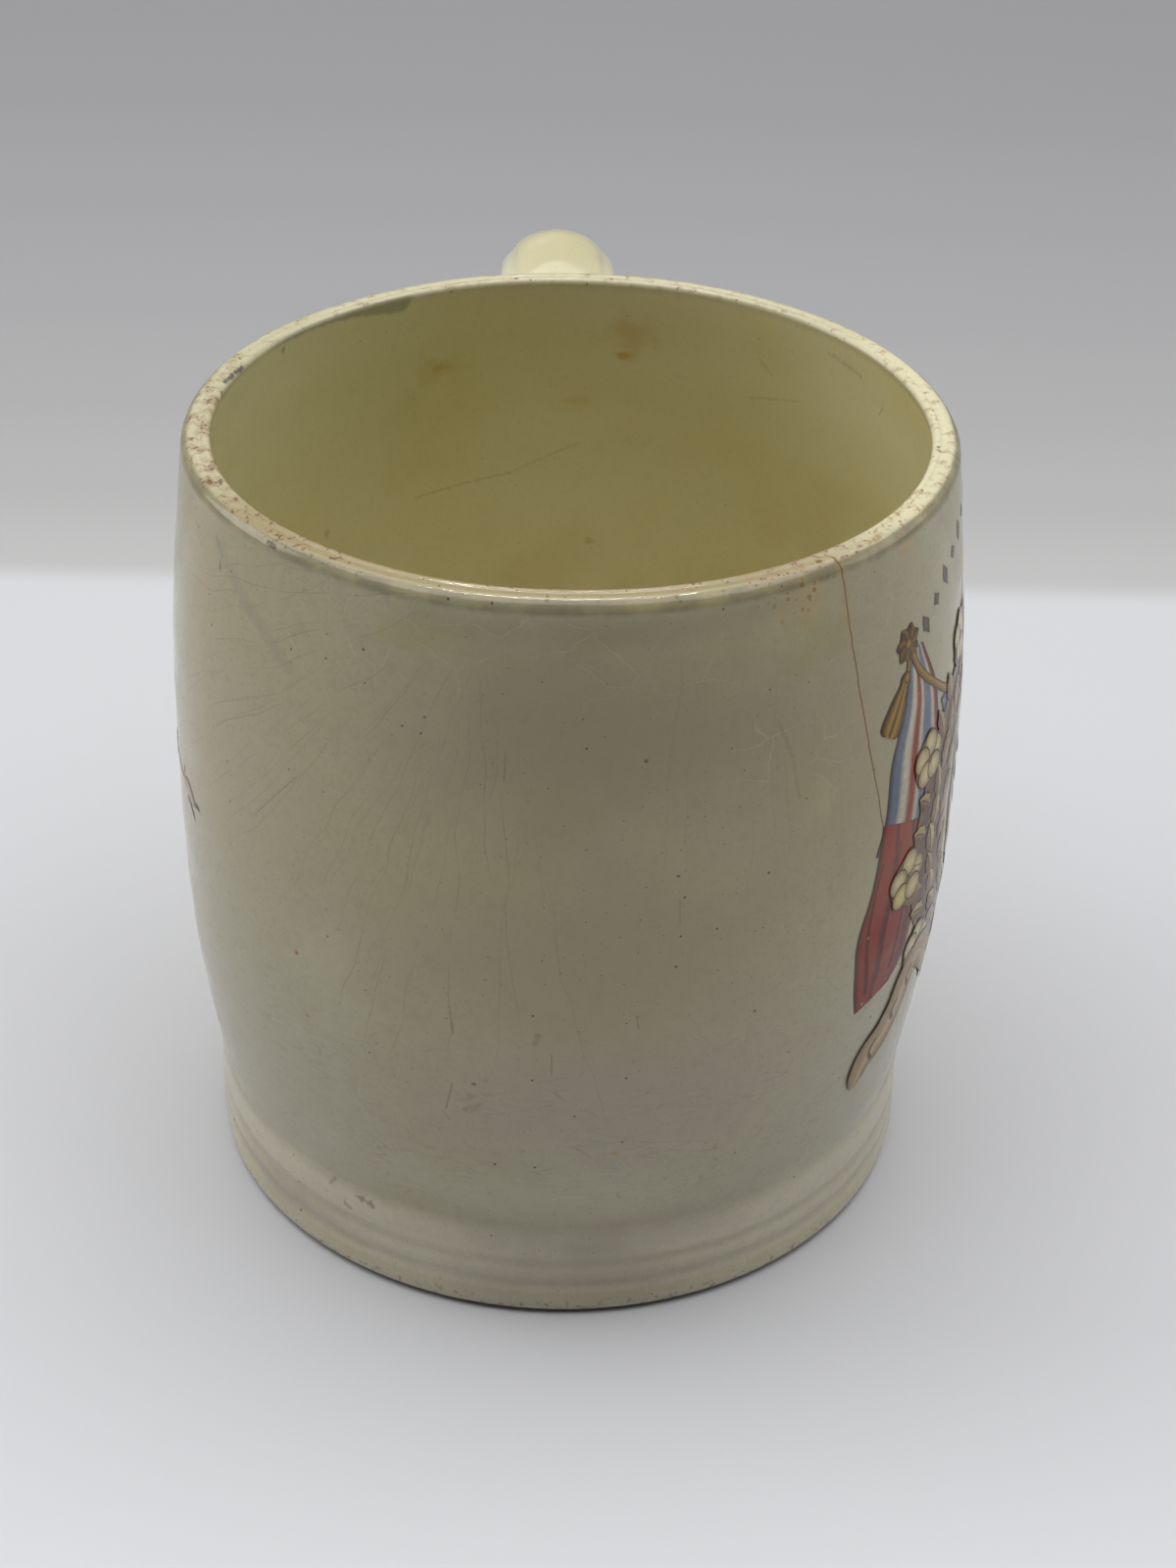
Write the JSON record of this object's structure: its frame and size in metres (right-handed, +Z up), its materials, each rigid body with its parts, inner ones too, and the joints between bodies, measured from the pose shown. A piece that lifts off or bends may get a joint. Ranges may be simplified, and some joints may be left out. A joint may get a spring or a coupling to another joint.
{
  "type": "commemorative cup",
  "caption": "Barrel-shaped cream-glazed earthenware mug with a ringed foot band, rounded lip and an ear-shaped strap handle luted to its wall.",
  "frame": {"origin": "on the table under the middle of the whole object's bounding box; the barrel's axis stands 13.6 mm from it towards -Y, because the handle reaches out towards +Y", "axes": "+Z up along the barrel's axis, +Y from the barrel to the handle, +X across the handle, to the right for someone who looks along +Y from the side away from the handle"},
  "size_m": [0.0776, 0.1046, 0.08],
  "materials": {
    "body_glaze": "glossy crazed lead glaze over cream earthenware, worn at the lip",
    "handle_glaze": "glossy crazed lead glaze, slightly yellower where it lies thick",
    "slip_glaze": "glazed slip fillet"
  },
  "bodies": {
    "root": {"body": "body_glaze", "handle": "handle_glaze", "upper_joint_slip": "slip_glaze", "lower_joint_slip": "slip_glaze"}
  },
  "joints": []
}
